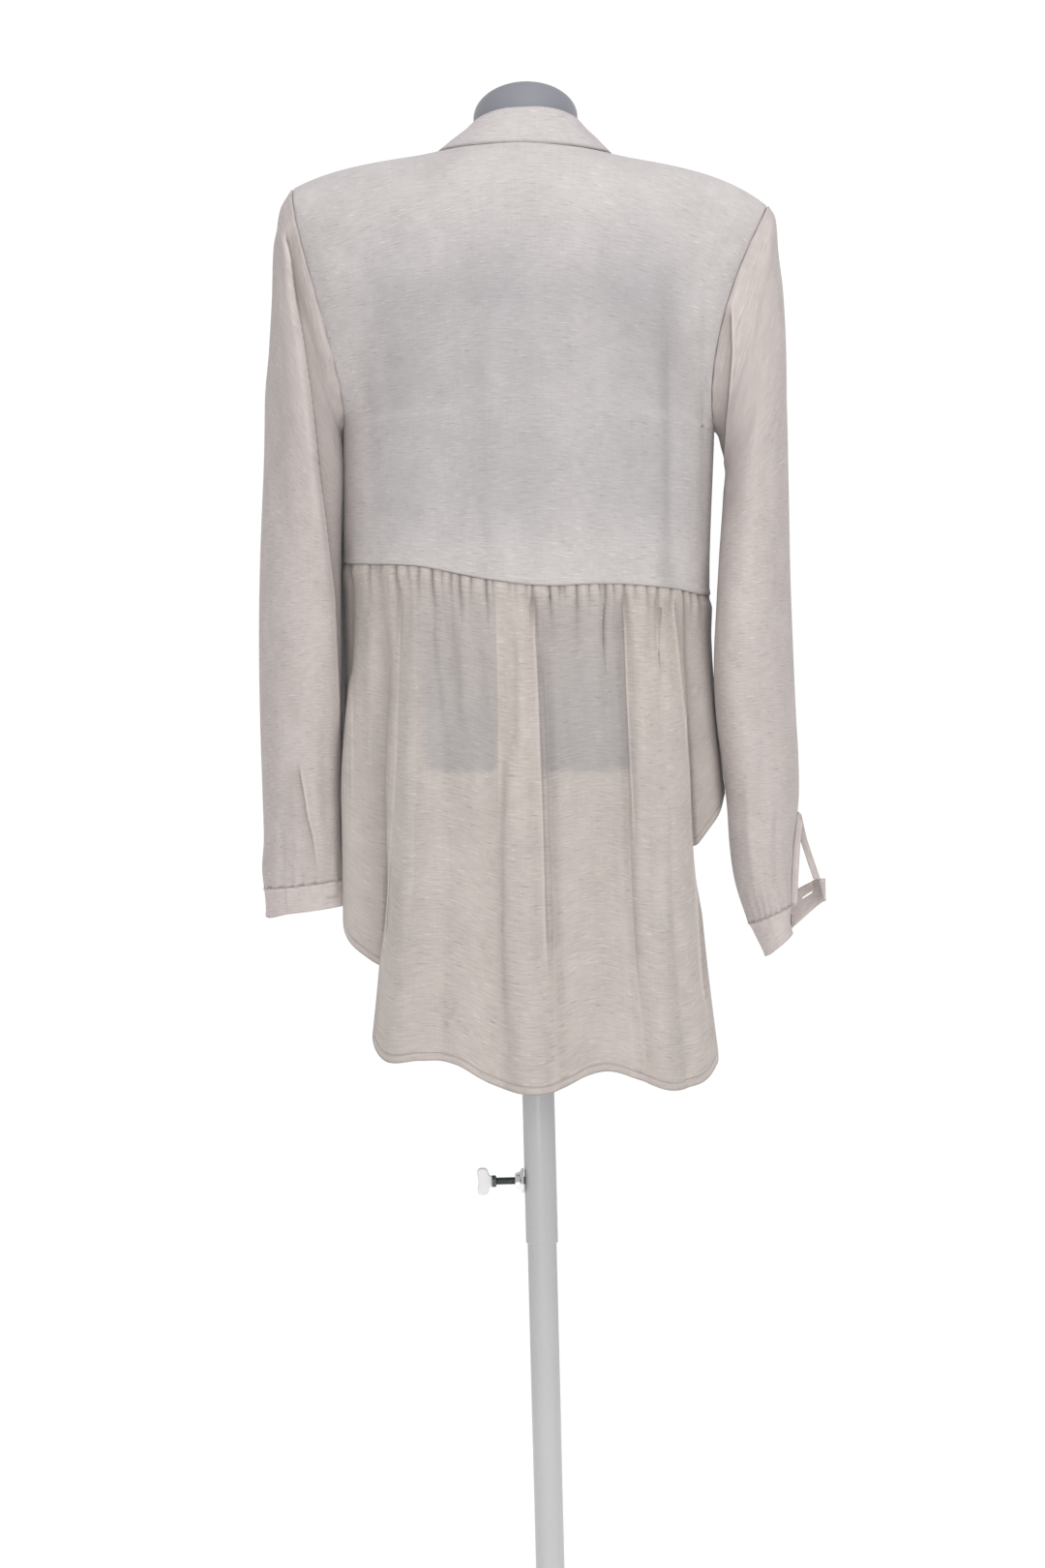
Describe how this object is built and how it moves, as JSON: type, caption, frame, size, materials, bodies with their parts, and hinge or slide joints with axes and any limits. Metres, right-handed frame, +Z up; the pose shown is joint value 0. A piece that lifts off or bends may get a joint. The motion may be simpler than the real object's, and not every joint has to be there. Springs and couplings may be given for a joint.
{
  "type": "blouse on dress form",
  "caption": "Long-sleeved blouse with a stand neck band and a gathered shirt-tail back, worn by a limbless dress form on a telescoping pole stand.",
  "frame": {"origin": "middle of the round base's underside, on the pole's axis", "axes": "+Z up the pole; the wearer's left is +X, the wearer's back is +Y, the front faces -Y"},
  "size_m": [0.4915, 0.38, 1.5571],
  "materials": {
    "linen": "satin",
    "button": "satin",
    "form_cover": "matte",
    "stand_paint": "satin",
    "clamp_nut_metal": "polished",
    "clamp_rod_metal": "satin",
    "knob_plastic": "satin"
  },
  "bodies": {
    "stand": {"stand_base": "stand_paint", "lower_pole": "stand_paint"},
    "post": {"upper_tube": "stand_paint", "clamp_nut": "clamp_nut_metal"},
    "form": {"form_body": "form_cover", "back_bodice": "linen", "back_skirt": "linen", "front": "linen", "neck_band": "linen", "sleeve_left": "linen", "sleeve_right": "linen", "cuff_left": "linen", "cuff_right": "linen", "slit_binding_left": "linen", "slit_binding_right": "linen", "cuff_button_left": "button", "cuff_button_right": "button"},
    "clamp": {"clamp_rod": "clamp_rod_metal", "clamp_knob": "knob_plastic"}
  },
  "joints": [
    {"name": "height_slide", "type": "slide", "parent": "stand", "child": "post", "axis": [0, 0, 1], "range_m": [-0.2, 0.2]},
    {"name": "form_turn", "type": "hinge", "parent": "post", "child": "form", "pos_m": [0, 0, 1], "axis": [0, 0, 1], "continuous": true},
    {"name": "clamp_screw", "type": "hinge", "parent": "post", "child": "clamp", "pos_m": [0.03, 0, 0.603], "axis": [1, 0, 0], "continuous": true}
  ]
}
